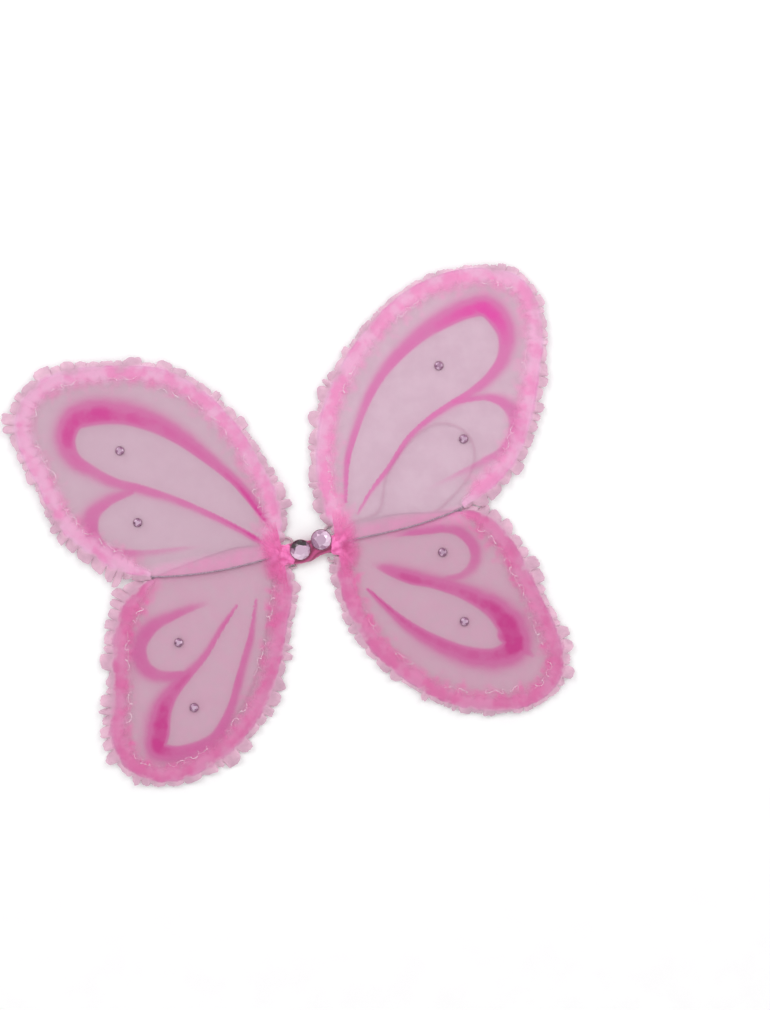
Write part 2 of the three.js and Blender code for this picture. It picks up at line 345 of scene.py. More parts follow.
# %% [markdown]
# Wire, skin and trim all belong to the same line, so one class keeps it. A place is given as a length along the wire
# and an offset outwards from it, as a maker would measure with a tape. A wing's four wire ends run straight and side
# by side into the root, and the upper lobe's wire lies over the lower one's.


# %% A lobe's wire, measured along its length
ROOT_X, STRAIGHT_X = 23.6, 28.4
WIRE_Z = {"upper": 0.0055, "lower": 0.0035}
WIRE_END_Y = {"upper": (3.525, 1.175), "lower": (-1.175, -3.525)}


class Lobe:
    """One lobe's wire. Places on it are given by length, and offsets from it are outwards."""

    def __init__(self, wing, lobe):
        rows = outlines[wing, lobe]
        start_y, end_y = WIRE_END_Y[lobe]
        ends = [[ROOT_X, start_y], [STRAIGHT_X, start_y]], [[STRAIGHT_X, end_y], [ROOT_X, end_y]]
        points = np.array([*ends[0], *[r[:2] for r in rows], *ends[1]]) * MM
        frills = np.array([0, 0, *[r[2] if len(r) > 2 else 0 for r in rows], 0, 0]) * MM
        self.wing, self.name, self.side, self.z = wing, lobe, SIDES[wing], WIRE_Z[lobe]
        self.body = f"{wing}_wing"
        self.line, step = smooth_line(points)
        self.at = lengths_along(self.line)
        self.frill = np.interp(step, range(len(frills)), frills)
        trimmed = np.flatnonzero(frills)
        self.first, self.last = (float(np.interp(i, step, self.at)) for i in (trimmed[0], trimmed[-1]))
        heading = np.gradient(self.line, self.at, axis=0)
        self.outward = np.column_stack([-heading[:, 1], heading[:, 0]])

    def beside(self, length, offset):
        """Points at a length along the wire and an offset outwards, still on the drawn side."""
        point = np.column_stack([np.interp(length, self.at, self.line[:, i]) for i in (0, 1)])
        out = np.column_stack([np.interp(length, self.at, self.outward[:, i]) for i in (0, 1)])
        out /= np.linalg.norm(out, axis=1)[:, None]
        return point + out * np.asarray(offset)[:, None]

    def place(self, flat, heights):
        """Drawn points put on the lobe's own side at the heights given."""
        return np.column_stack([flat[:, 0] * self.side, flat[:, 1], heights])


lobes = [Lobe(wing, lobe) for wing in SIDES for lobe in WIRE_Z]
for lobe in lobes:
    print(lobe.wing, lobe.name, "wire is", round(lobe.at[-1], 3), "m long")

# %% [markdown]
# The wire is thin spring steel with a dull grey-violet sleeve, so it shows as a fine dark line round the wing. It is
# a tube along the lobe's line. Tiny scratches from noise break up the shine.

# %% Sleeved wire
sleeve, shader = new_look("sleeved_wire", Metallic=0.35)
scuffs = speckle(sleeve, 900)
finish_look(
    sleeve,
    shader,
    Base_Color=mixed(sleeve, ranged(sleeve, scuffs, 0.35, 0.7), rgb(150, 122, 142), rgb(186, 158, 176)),
    Roughness=ranged(sleeve, scuffs, 0.3, 0.7, 0.35, 0.6),
    height=(scuffs, 0.15, 0.0001),
)
WIRE_RADIUS = 0.0008
for lobe in lobes:
    name = f"{lobe.body}_{lobe.name}_wire"
    every_fourth = lobe.line[::4]
    line = lobe.place(every_fourth, np.full(len(every_fourth), lobe.z))
    piece = tube(f"{name}_sleeve", line, WIRE_RADIUS, sleeve, lobe.body)
    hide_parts(name)
print("four wires")

# %% [markdown]
# The skins are sheer nylon, stretched flat, and the veins are airbrushed on them in magenta dye. A dye line is
# widest and darkest at the wing's tips and fades to nothing at its ends. Each vein below has points of x, y, width
# and strength. The skin's mesh is fine enough to keep the dye as a number at each point, found from the distance to
# the nearest vein. That is simpler than an image, and the edges stay as soft as sprayed dye.

# %% Airbrushed veins
veins = {
    ("right", "upper"): [
        [[41, 38, 4, 0.7], [50, 75, 6, 0.75], [65, 105, 8, 0.6], [85, 135, 10, 0.6], [105, 155, 12, 0.62],
         [135, 175, 15, 0.66], [165, 187, 18, 0.76], [190, 192, 19, 0.88], [204, 190, 20, 1.0], [214, 175, 20, 0.84],
         [217, 160, 18, 0.72], [210, 140, 14, 0.66], [195, 126, 11, 0.65], [175, 115, 9, 0.65],
         [155, 108, 7, 0.7], [135, 100, 6, 0.8], [110, 85, 5.5, 0.7], [85, 60, 5, 0.75], [65, 42, 4, 0.7],
         [50, 25, 3, 0.5]],
        [[158, 109, 5, 0.6], [188, 108, 8, 0.58], [204, 99, 13, 0.56], [211, 85, 16, 0.54], [208, 70, 15, 0.56],
         [195, 57, 11, 0.45], [175, 50, 9, 0.42], [145, 42, 6, 0.3], [110, 33, 4, 0]],
    ],
    ("right", "lower"): [
        [[80, -2, 4, 0.2], [92, -2, 6, 0.55], [110, -3, 8, 0.62], [125, -4, 9, 0.6], [140, -10, 11, 0.6],
         [150, -25, 12, 0.6], [148, -40, 11, 0.55], [135, -50, 9, 0.45], [118, -51, 8, 0.4]],
        [[56, -24, 7, 0.2], [72, -34, 12, 0.72], [88, -43, 14, 0.8], [105, -50, 13, 0.76], [135, -67, 15, 0.76],
         [157, -85, 21, 0.9], [169, -105, 25, 1.05], [170, -123, 23, 1.05], [152, -131, 20, 0.85],
         [125, -124, 18, 0.74], [95, -104, 14, 0.74], [75, -85, 10, 0.78], [60, -66, 6, 0.85], [46, -46, 3, 0.9]],
        [[164, -112, 18, 0.8], [176, -126, 11, 0.7], [184, -135, 6, 0.35]],
    ],
    ("left", "upper"): [
        [[29, 25, 4, 0.9], [38, 42, 7, 1], [48, 62, 8, 0.92], [57, 77, 9, 0.78], [75, 100, 12, 0.7],
         [100, 128, 17, 0.7], [125, 147, 20, 0.78], [145, 157, 22, 0.82], [175, 163, 24, 0.95],
         [193, 160, 22, 0.9], [203, 145, 20, 0.85], [200, 125, 16, 0.7], [185, 110, 13, 0.6],
         [165, 95, 11, 0.6], [145, 86, 10, 0.6],
         [115, 70, 8, 0.62], [85, 50, 6.5, 0.68], [60, 31, 5.5, 0.85], [46, 19, 5, 1], [36, 11, 3, 0.9]],
        [[153, 85, 8, 0.5], [178, 80, 13, 0.6], [193, 69, 16, 0.66], [196, 50, 16, 0.66], [185, 35, 12, 0.56],
         [155, 27, 8, 0.42], [120, 24, 6, 0.28], [88, 22, 4, 0]],
    ],
    ("left", "lower"): [
        [[95, -29, 6, 0], [115, -31, 8, 0.4], [135, -35, 10, 0.55], [158, -42, 14, 0.62], [173, -58, 16, 0.68],
         [172, -77, 15, 0.65], [160, -88, 13, 0.6], [138, -92, 10, 0.55]],
        [[77, -38, 3, 0.75], [95, -56, 5, 0.74], [115, -78, 7, 0.7], [135, -93, 10, 0.7], [153, -107, 15, 0.8],
         [165, -124, 19, 0.95], [170, -140, 20, 1.1], [174, -154, 18, 0.95], [162, -161, 16, 0.78],
         [145, -162, 15, 0.68], [120, -155, 14, 0.64], [100, -130, 9, 0.66], [85, -100, 8, 0.68],
         [70, -70, 6.5, 0.68], [58, -36, 3, 0.65]],
    ],
}
print("veins:", sum(len(v) for v in veins.values()))

# %% Dye from the nearest vein
POINTS_AT_ONCE = 2000
CRISP_EDGE, SOFT_EDGE = (0.95, 6), (1.16, 1.7)
WHERE_VEINS_CROSS = 0.12
VEIN_STEPS = 12


def nearest_on(line, points):
    """For each point, how far the line is and which of the line's own points is nearest."""
    away, which = np.zeros(len(points)), np.zeros(len(points), int)
    for start in range(0, len(points), POINTS_AT_ONCE):
        some = slice(start, start + POINTS_AT_ONCE)
        apart = np.linalg.norm(points[some, None] - line[None], axis=2)
        which[some], away[some] = apart.argmin(1), apart.min(1)
    return away, which


def dye_at(lobe, points):
    """How much dye is on each drawn point, from 0 to 1: crisp inside a vein's curve and soft outside it."""
    dye = np.zeros(len(points))
    for vein in veins[lobe.wing, lobe.name]:
        spread = smooth_line(vein, VEIN_STEPS)[0]
        away, which = nearest_on(spread[:, :2] * MM, points)
        half = spread[which, 2] * MM / 2
        heading = np.gradient(spread[:, :2], axis=0)[which]
        to_point = points - spread[which, :2] * MM
        outside = heading[:, 0] * to_point[:, 1] - heading[:, 1] * to_point[:, 0] > 0
        crisp, soft = (np.exp(-((away / (half * wide)) ** power)) for wide, power in (CRISP_EDGE, SOFT_EDGE))
        strength = spread[which, 3] * np.where(outside, soft, crisp)
        dye = np.maximum(dye, strength) + WHERE_VEINS_CROSS * np.minimum(dye, strength)
    return np.clip(dye, 0, 1)


print("dye helpers ready")

# %% [markdown]
# The nylon itself is a thin see-through sheet. A grey-pink colour with most of its light blocked reads as fine mesh
# over a pale table, and the dye both colours it and makes it denser. Along the wire the nylon is sprayed hot pink
# under the trim. The weave is too fine to see from afar, so two sets of waves only touch the surface's height.

# %% Sheer nylon
nylon, shader = new_look("sheer_nylon", Roughness=0.55, Sheen_Weight=0.25)
mottle = speckle(nylon, 60, 5)
dye = worked(nylon, "MULTIPLY", noted(nylon, "dye"), ranged(nylon, mottle, 0.3, 0.62, 0.86, 1.06))
spray = worked(nylon, "MULTIPLY", noted(nylon, "spray"), ranged(nylon, speckle(nylon, 110, 4), 0.3, 0.65, 0.62, 1.1))
pale = mixed(nylon, ranged(nylon, mottle, 0.3, 0.7), rgb(207, 168, 190), rgb(213, 176, 197))
# Painted shade: the shade number paints the lower lobes and the left upper lobe darker, in the pale nylon, the spray
# and both dyes.
shade = noted(nylon, "shade")
plain = mixed(nylon, shade, pale, rgb(194, 153, 174))
sprayed = mixed(nylon, spray, plain, mixed(nylon, shade, rgb(254, 126, 198), rgb(226, 92, 164)))
thin_dye = mixed(nylon, shade, rgb(214, 104, 170), rgb(200, 88, 152))
thick_dye = mixed(nylon, shade, rgb(222, 58, 162), rgb(186, 28, 122))
light_dye = mixed(nylon, ranged(nylon, dye, 0.0, 0.6), sprayed, thin_dye)
full_dye = mixed(nylon, ranged(nylon, dye, 0.6, 1.0), light_dye, thick_dye)
weave = {"Vector": add(nylon, "TexCoord").outputs["Object"], "Scale": 520.0}
threads = [add(nylon, "TexWave", weave, bands_direction=way).outputs[1] for way in ("X", "Y")]
cover = worked(nylon, "ADD", worked(nylon, "MULTIPLY", dye, 0.25), worked(nylon, "MULTIPLY", spray, 0.16))
finish_look(
    nylon,
    shader,
    Base_Color=full_dye,
    Alpha=worked(nylon, "ADD", cover, 0.66),
    height=(worked(nylon, "MULTIPLY", *threads), 0.06, 0.0001),
)
print("material", nylon.name)

# %% [markdown]
# A skin reaches from wire to wire, so its mesh is the outline filled with triangles. Blender's constrained Delaunay
# fill takes the outline and an even pattern of points inside it. The nylon is flat in the middle of a wing. Near the
# root it is pulled into the binding, so fine folds fan out from there and fade away.



# %% An outline filled with triangles
def inside(points, outline):
    """Which points are inside a closed outline, by counting the outline's crossings to one side of each."""
    x, y = points.T
    found = np.zeros(len(points), bool)
    for (x0, y0), (x1, y1) in zip(outline, np.roll(outline, -1, axis=0)):
        if y0 != y1:
            found ^= ((y0 > y) != (y1 > y)) & (x < x0 + (y - y0) * (x1 - x0) / (y1 - y0))
    return found


def filled(outline, spacing):
    """An outline filled with even triangles, as flat points and faces."""
    low, high = outline.min(0), outline.max(0)
    rows = np.arange(low[1], high[1], spacing * math.sqrt(3) / 2)
    columns = np.arange(low[0], high[0], spacing)
    grid = np.array([[x + spacing / 2 * (i % 2), y] for i, y in enumerate(rows) for x in columns])
    grid = grid[inside(grid, outline)]
    grid = grid[nearest_on(outline, grid)[0] > spacing * 0.6]
    points = [Vector(p) for p in np.vstack([outline, grid])]
    made = delaunay_2d_cdt(points, [], [list(range(len(outline)))], 1, 1e-7)
    return np.array([tuple(p) for p in made[0]]), made[2]


print("a square of 1 by 1 is filled with", len(filled(np.array([[0, 0], [1, 0], [1, 1], [0, 1.0]]), 0.2)[1]), "faces")

# %% Folds and spray on a skin
ROOT = np.array([ROOT_X, 0]) * MM
SPRAY_REACH, SPRAY_EDGE, SPRAY_RAGGED = 0.0240, 0.016, 0.006


def root_folds(points, depth):
    """Heights of the folds that fan out from the root."""
    away = points - ROOT
    reach = np.linalg.norm(away, axis=1)
    angle = np.arctan2(away[:, 1], away[:, 0])
    ridges_and_painted_shade = np.sin(angle * 34 + 2 * np.sin(angle * 9)) * np.minimum(reach / 0.012, 1)
    return depth * ridges_and_painted_shade * np.exp(-reach / 0.022)


def blotches(points):
    """An uneven pattern of soft spots one or two centimetres wide, from crossed waves."""
    x, y = points[:, 0] * 1000, points[:, 1] * 1000
    broad = np.sin(x / 4.1 + 2 * np.sin(y / 9)) * np.sin(y / 4.7 + 2 * np.sin(x / 11))
    fine = np.sin((x + y) / 2.3 + np.sin(x / 3)) * np.sin((x - y) / 2.9)
    return broad + 0.5 * fine


def lapped_at(lobe, points):
    """Where the two lobes lie over each other, from 0 to 1."""
    if lobe.name == "upper":
        return np.clip((0.016 - points[:, 1]) / 0.006, 0, 1)
    return np.clip(points[:, 1] / 0.012 + 0.5, 0, 1)


def spray_at(lobe, points, lapped):
    """How much hot pink is sprayed under the trim, round the root, over the lap and thinly everywhere."""
    away, which = nearest_on(lobe.line, points)
    at = lobe.at[which]
    under_trim = np.clip((SPRAY_REACH - away + SPRAY_RAGGED * blotches(points)) / SPRAY_EDGE, 0, 1)
    under_trim *= np.clip((lobe.last + 0.01 - at) / 0.02, 0, 1)
    under_trim *= np.clip((at - lobe.first + 0.03) / 0.02, 0, 1)
    from_root = np.linalg.norm(points - ROOT, axis=1)
    upper = lobe.name == "upper"
    hot = (0.6 if upper else 0.95) + 0.3 * np.clip(1.5 - from_root / 0.07, 0, 1)
    near_root = np.clip(1.45 - from_root / 0.024, 0, 1)
    haze = 0.03 + 0.3 * lapped if upper else 0.18 + 0.5 * lapped
    return np.maximum(np.maximum(under_trim * hot, near_root * 0.9), haze)


print("the root is at", ROOT.round(4), "m")

# %% Skins
SKIN_SPACING = 0.0019
ROOT_FOLD_DEPTH = 0.00025
# Painted shade for each lobe: how much darker its nylon is painted, taken away where the lobes lap.
PAINTED_SHADES = {("right", "upper"): 0.0, ("left", "upper"): 0.55, ("right", "lower"): 0.85, ("left", "lower"): 0.8}


def skin(lobe):
    """One lobe's nylon, with its painted shade, dye and spray noted for the material."""
    even = np.arange(0, lobe.at[-1], SKIN_SPACING)
    flat, faces = filled(lobe.beside(even, np.zeros(len(even))), SKIN_SPACING)
    faces = faces if lobe.side > 0 else [f[::-1] for f in faces]
    points = lobe.place(flat, lobe.z + root_folds(flat, ROOT_FOLD_DEPTH))
    piece = make_piece(f"{lobe.body}_{lobe.name}_nylon", points, faces, nylon, lobe.body)
    lapped = lapped_at(lobe, flat)
    note(piece, "shade", PAINTED_SHADES[lobe.wing, lobe.name] * (1 - lapped))
    note(piece, "dye", dye_at(lobe, flat))
    note(piece, "spray", spray_at(lobe, flat, lapped))
    return piece


for lobe in lobes:
    piece = skin(lobe)
    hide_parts(f"{lobe.body}_{lobe.name}_skin")

# %% [markdown]
# The trim is a ribbon of organza, gathered on a thread and glued along the wire. Its inner part is dyed pink in
# blots, hotter near the root, and the frill past the wire is a greyish pink. Each layer lets light through, so the
# cloth is darker wherever a fold lies over another. Crossed waves give the crisp, open weave.

# %% Gathered organza
organza, shader = new_look("gathered_organza", Roughness=0.42, Sheen_Weight=0.45)
patches = speckle(organza, 70, 5)
wander = worked(organza, "MULTIPLY", worked(organza, "SUBTRACT", patches, 0.5), 1.6)
past_wire = ranged(organza, worked(organza, "ADD", noted(organza, "across"), wander), -0.12, 0.3)
blots = ranged(organza, speckle(organza, 55, 5), 0.4, 0.62)
heat = worked(organza, "ADD", noted(organza, "heat"), worked(organza, "MULTIPLY", blots, 0.46))
# Painted shade: on the lower lobes the trims' pinks are painted darker.
lower_lobe_painted_shade = noted(organza, "shade")
pink = mixed(
    organza,
    heat,
    mixed(organza, lower_lobe_painted_shade, rgb(255, 194, 232), rgb(234, 148, 196)),
    mixed(organza, lower_lobe_painted_shade, rgb(250, 90, 186), rgb(224, 64, 156)),
)
grey_pink = mixed(organza, ranged(organza, patches, 0.3, 0.7), rgb(230, 178, 203), rgb(206, 156, 182))
THREAD_STEP = 0.0007
warp, weft = (
    worked(organza, "SINE", worked(organza, "MULTIPLY", noted(organza, way), 2 * math.pi / THREAD_STEP))
    for way in ("along", "width")
)
threads = worked(organza, "MULTIPLY", warp, weft)
cover = worked(
    organza,
    "MULTIPLY",
    ranged(organza, past_wire, 0.0, 1.0, 0.58, 0.84),
    ranged(organza, noted(organza, "across"), -1.0, -0.35, 0.0, 1.0),
)
stitches = ranged(organza, worked(organza, "ABSOLUTE", noted(organza, "across")), 0.02, 0.16, 0.08, 0.0)
covered = worked(organza, "ADD", cover, stitches)
finish_look(
    organza,
    shader,
    Base_Color=mixed(organza, past_wire, pink, grey_pink),
    Alpha=worked(organza, "ADD", covered, worked(organza, "MULTIPLY", threads, 0.05)),
    height=(threads, 0.12, 0.0001),
)
print("material", organza.name)

# %% [markdown]
# A gathered ribbon is a row of folds of uneven width. One sine wave shifts the cloth along the wire and another
# lifts it, so that each fold leans over and stands up. At the free edge each fold ends in one scallop, and chance
# gives every scallop its own reach, roundness and lean. Cloth simulation could gather a ribbon too, but it gives no
# hold on how far the frill stands past the wire.

# %% Folds and their scallops
FOLD_WIDTH = 0.0115
COLUMNS_PER_FOLD = 12
WIDTH_SHARES = (0.6, 1.7)
REACH, DEPTH, LEAN, LIFT, POWER, SKEW = (0, 1), (0.72, 1.12), (0.15, 1.35), (0.5, 1.3), (1.3, 3.8), (-0.7, 0.7)
LEAST_FRILL, ROOT_FRILL = 0.0012, 0.0055


def drawn_folds(start, end, random):
    """Each column's length along the wire, its part of its fold, the fold's width, and the fold's own character."""
    widths = random.uniform(*WIDTH_SHARES, int((end - start) / FOLD_WIDTH))
    edges = start + np.concatenate([[0], np.cumsum(widths)]) * (end - start) / widths.sum()
    fold = np.repeat(np.arange(len(widths)), COLUMNS_PER_FOLD)
    phase = np.tile(np.arange(COLUMNS_PER_FOLD) / COLUMNS_PER_FOLD, len(widths))
    size = np.diff(edges)[fold]
    character = [random.uniform(*span, len(widths))[fold] for span in (REACH, DEPTH, LEAN, LIFT, POWER, SKEW)]
    return edges[fold] + phase * size, phase, size, character


def scallops(lobe, length, from_root, phase, reach, power, skew):
    """How far the frill stands past the wire at each column."""
    crown = 1 - np.abs(2 * phase ** 2.0**skew - 1) ** power
    at_root = ROOT_FRILL * np.clip(1.8 - from_root / 0.02, 0, 1)
    drawn = np.maximum(np.interp(length, lobe.at, lobe.frill), at_root)
    crinkle = 0.0003 * np.sin(length * 5200) + 0.0004 * np.sin(length * 1900 + 3 * np.sin(length * 410))
    return drawn * (0.34 + crown * (0.28 + reach**1.3)) + LEAST_FRILL + crinkle


print("folds about", FOLD_WIDTH, "m wide")

# %% Trims
TRIM_WIDTH = 0.022
ROWS_EACH_SIDE = 8
ROOT_START, NOTCH_REACH = 0.006, 0.012
END_WIDTHS = {"root": (0.75, 0.03), "notch": (0.3, 0.045)}
OVER_WIRE = 0.0020
DROOP = {"upper": 0.0030, "lower": 0.0024}
SHIFT_AT_WIRE, SHIFT_INSIDE, SHIFT_OUTSIDE = 0.015, 0.015, 0.12
RISE_AT_WIRE, RISE_INSIDE, RISE_OUTSIDE = 0.0001, 0.0001, 0.0018
CROWDED_THREADS = 1.5


def gathered_trim(lobe, seed):
    """One lobe's ribbon, with how far it is gathered to and its mean width."""
    upper = lobe.name == "upper"
    if upper:
        start, end, ends = ROOT_START, lobe.last + NOTCH_REACH, ("root", "notch")
    else:
        start, end, ends = lobe.first - NOTCH_REACH, lobe.at[-1] - ROOT_START, ("notch", "root")
    length, phase, size, character = drawn_folds(start, end, np.random.default_rng(seed))
    reach, depth, lean, lift, power, skew = character
    from_root = np.linalg.norm(lobe.beside(length, 0 * length) - ROOT, axis=1)
    frill = scallops(lobe, length, from_root, phase, reach, power, skew)
    narrow = np.ones(len(length))
    for away, (least, taper) in ((length - start, END_WIDTHS[ends[0]]), (end - length, END_WIDTHS[ends[1]])):
        narrow = np.minimum(narrow, np.clip(least + away / taper, 0, 1))
    puff = np.abs(np.sin(math.pi * phase))
    inner = TRIM_WIDTH * (0.8 + 0.2 * puff**0.8 * depth) * narrow
    wave = np.sin(2 * math.pi * phase)
    near_root = np.clip(1.6 - from_root / 0.02, 0, 1)
    rows, across, width = [], [], []
    for t in np.linspace(-1, 1, 2 * ROWS_EACH_SIDE + 1):
        past_wire, opening = t > 0, abs(t)
        shift = (SHIFT_AT_WIRE + (SHIFT_OUTSIDE if past_wire else SHIFT_INSIDE) * opening) * lean * size * wave
        rise = (RISE_AT_WIRE + (RISE_OUTSIDE if past_wire else RISE_INSIDE) * opening) * lift * wave
        offset = frill * t if past_wire else inner * t
        height = lobe.z + OVER_WIRE - DROOP[lobe.name] * max(t, 0) ** 1.4 - rise
        rows.append(lobe.place(lobe.beside(length - shift, offset), height))
        across.append(t * (1 - 0.9 * near_root) if past_wire else np.full(len(length), t))
        width.append(offset)
    name = f"{lobe.body}_{lobe.name}_ruffle"
    piece = make_piece(name, np.vstack(rows), grid_faces(len(rows), len(length)), organza, lobe.body)
    note(piece, "across", np.concatenate(across))
    note(piece, "width", np.concatenate(width))
    note(piece, "along", np.tile(length * CROWDED_THREADS, len(rows)))
    # Painted shade: 1 on the lower lobes, 0 on the upper.
    note(piece, "shade", np.full(len(rows) * len(length), 0.0 if upper else 1.0))
    heat = np.clip(1.6 - from_root / 0.05, 0.04 if upper else 0.45, 1)
    note(piece, "heat", np.tile(heat, len(rows)))
    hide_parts(f"{lobe.body}_{lobe.name}_trim")
    return piece, end - start, float((frill + inner).mean())


for seed, lobe in enumerate(lobes, 11):
    piece, run, width = gathered_trim(lobe, seed)

# %% [markdown]
# Where the four wires of the two lobes meet, organza is bunched over each root and fans out on the nylon. It is a
# fan of points round the root with shallow folds that open outwards. It fades to nothing at its rim, so that the
# bunched cloth seems to run on into the trims.

# %% Root fans
fan_cloth, shader = new_look("bunched_organza", Roughness=0.4, Sheen_Weight=0.5)
streaks = speckle(fan_cloth, 160, 4)
# Painted shade and painted highlight on the folds: the colour is darker in the folds and lighter on their crests,
# mixed with random streaks.
ridge = noted(fan_cloth, "ridge")
finish_look(
    fan_cloth,
    shader,
    Base_Color=mixed(
        fan_cloth,
        ranged(fan_cloth, worked(fan_cloth, "ADD", worked(fan_cloth, "MULTIPLY", ridge, 0.4), streaks), 0.2, 1.0),
        rgb(226, 74, 154),
        rgb(252, 126, 196),
    ),
    Alpha=worked(fan_cloth, "MULTIPLY", noted(fan_cloth, "cover"), ranged(fan_cloth, streaks, 0.25, 0.6, 0.8, 1.0)),
    height=(streaks, 0.3, 0.0004),
)
FAN_REACH, FAN_SPREAD = 0.034, math.radians(86)
FAN_ROWS, FAN_COLUMNS = 18, 161
FAN_START = 0.08


def root_fan(wing, seed):
    """A thin fan of cloth round one root, over the edge of the upper nylon."""
    random = np.random.default_rng(seed)
    side = SIDES[wing]
    angle = np.linspace(-FAN_SPREAD, FAN_SPREAD, FAN_COLUMNS)
    phase = angle * 6 + 1.6 * np.sin(angle * 4 + seed)
    reach = FAN_REACH * (0.85 + 0.15 * np.abs(np.sin(phase / 2)) + 0.06 * random.standard_normal(len(angle)))
    points, ridge, cover = [], [], []
    for t in np.linspace(FAN_START, 1, FAN_ROWS):
        out = reach * t
        x = ROOT[0] + 0.0012 + out * np.cos(angle) * 0.72
        y = out * np.sin(angle)
        deep = 0.00012 * math.sin(math.pi * min(t * 1.25, 1) ** 0.7) + 0.0001
        base = 0.0056 + 0.0020 * np.clip((y + 0.008) / 0.012, 0, 1) + 0.0008 * (1 - t)
        points.append(np.column_stack([side * x, y, base + deep * np.sin(phase)]))
        # Painted shade and highlight along the fan's folds, fading outwards.
        ridge.append(0.3 + np.sin(phase) * 0.35 * (1 - t))
        cover.append(0.95 * (1 - t**2.4) * (0.86 + 0.14 * np.sin(phase * 0.7)))
    faces = grid_faces(FAN_ROWS, FAN_COLUMNS)
    piece = make_piece(f"{wing}_wing_root_fan", np.vstack(points), faces, fan_cloth, f"{wing}_wing")
    note(piece, "ridge", np.concatenate(ridge))
    note(piece, "cover", np.concatenate(cover))


for seed, wing in enumerate(SIDES, 3):
    root_fan(wing, seed)
print("two root fans")

# %% [markdown]
# The wrap is a magenta satin ribbon, wound and twisted round the joint of the two wings. Its folds run slantwise, so a
# closed tube of points is squeezed where slanting lines cross it. The squeeze is noted for the material, which paints
# shade into the folds and paints highlights on the crests. Satin is smooth along its threads, so it has a soft, bright
# sheen.

# %% Twisted satin
satin, shader = new_look("twisted_satin", Roughness=0.36, Sheen_Weight=0.6, Anisotropic=0.5)
creases_for_bump_and_shade = speckle(satin, 420, 5)
ridge = worked(satin, "ADD", noted(satin, "ridge"), worked(satin, "MULTIPLY", creases_for_bump_and_shade, 0.35))
# Painted shade and painted highlight: the colour goes from dark magenta in the folds to light magenta on their crests,
# and the fine creases add their own painted shade.
satin_in_painted_shade = mixed(satin, ranged(satin, ridge, 0.1, 0.7), rgb(104, 22, 62), rgb(156, 42, 96))
finish_look(
    satin,
    shader,
    Base_Color=mixed(satin, ranged(satin, ridge, 0.75, 1.3), satin_in_painted_shade, rgb(196, 74, 134)),
    height=(creases_for_bump_and_shade, 0.35, 0.0004),
)
print("material", satin.name)

# %% A wrap of cloth with slanting folds
POINTS_ROUND = 96


def wrapped(name, x, half_height, middle_y, low_z, high_z, folds, twist, material, body=None, depth=0.09, wavy=0):
    """A closed wrap of cloth along X, with slanting folds whose crests are noted for painted shade and highlight; wavy
    is how uneven its first end is.
    """
    turn = np.linspace(0, 2 * math.pi, POINTS_ROUND, endpoint=False)
    uneven = wavy * (np.sin(turn * 2 + 0.6) + 0.6 * np.sin(turn * 5))
    rows, ridges_and_painted_shade = [], []
    for place, half, middle, low, high in zip(x, half_height, middle_y, low_z, high_z):
        slant = folds / 2 * (turn + twist * place) + 0.5 * math.sin(place * 300)
        # The crests shape the cloth and also set its painted shade.
        ridge = np.abs(np.sin(slant)) ** 0.6
        squeeze = 1 - depth * (1 - ridge)
        y = middle + half * np.sign(np.cos(turn)) * np.abs(np.cos(turn)) ** 0.85 * squeeze
        z = (low + high) / 2 + (high - low) / 2 * np.sign(np.sin(turn)) * np.abs(np.sin(turn)) ** 0.75 * squeeze
        fade = max(1 - abs(place - x[0]) / 0.004, 0)
        rows.append(np.column_stack([place + uneven * fade, y, z]))
        ridges_and_painted_shade.append(ridge)
    faces = grid_faces(len(rows), POINTS_ROUND, closed=True)
    count = len(rows) * POINTS_ROUND
    faces += [tuple(range(POINTS_ROUND))[::-1], tuple(range(count - POINTS_ROUND, count))]
    piece = make_piece(name, np.vstack(rows), faces, material, body)
    note(piece, "ridge", np.concatenate(ridges_and_painted_shade))
    return piece


def along_x(x, *pairs):
    """A measure at each x, from pairs of x and value in millimetres."""
    known = np.array(pairs, float) * MM
    return np.interp(x, known[:, 0], known[:, 1])


print("a wrap has", POINTS_ROUND, "points round it")

# %% Satin wrap
WRAP_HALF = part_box("centre_wrap")[1].x
WRAP_RINGS = 110
x = np.linspace(-WRAP_HALF, WRAP_HALF, WRAP_RINGS)
wrap = wrapped(
    "satin_wrap",
    x,
    along_x(x, (-22.5, 7.6), (-17, 9.8), (-10, 10.6), (-2, 10.2), (6, 8.6), (13, 7.4), (22.5, 7.0)),
    along_x(x, (-22.5, 0), (-12, -0.6), (0, -0.4), (8, 1.0), (16, 1.2), (22.5, 0.2)),
    along_x(x, (-22.5, 0.3), (22.5, 0.3)),
    along_x(x, (-22.5, 8.0), (-16, 8.9), (18, 8.9), (22.5, 8.0)),
    folds=7,
    twist=48,
    material=satin,
    body="centre",
)
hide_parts("centre_wrap")
print("satin wrap", [round(v, 4) for v in wrap.dimensions])

# %% [markdown]
# The hot-pink organza of each wing is pulled over the end of the wrap as a neck that hides the wires. It crosses the
# line that the wing folds about, but it is not attached to the wrap or the wing. It is made like the satin wrap, with
# more and finer folds, and the left neck is a mirrored one.

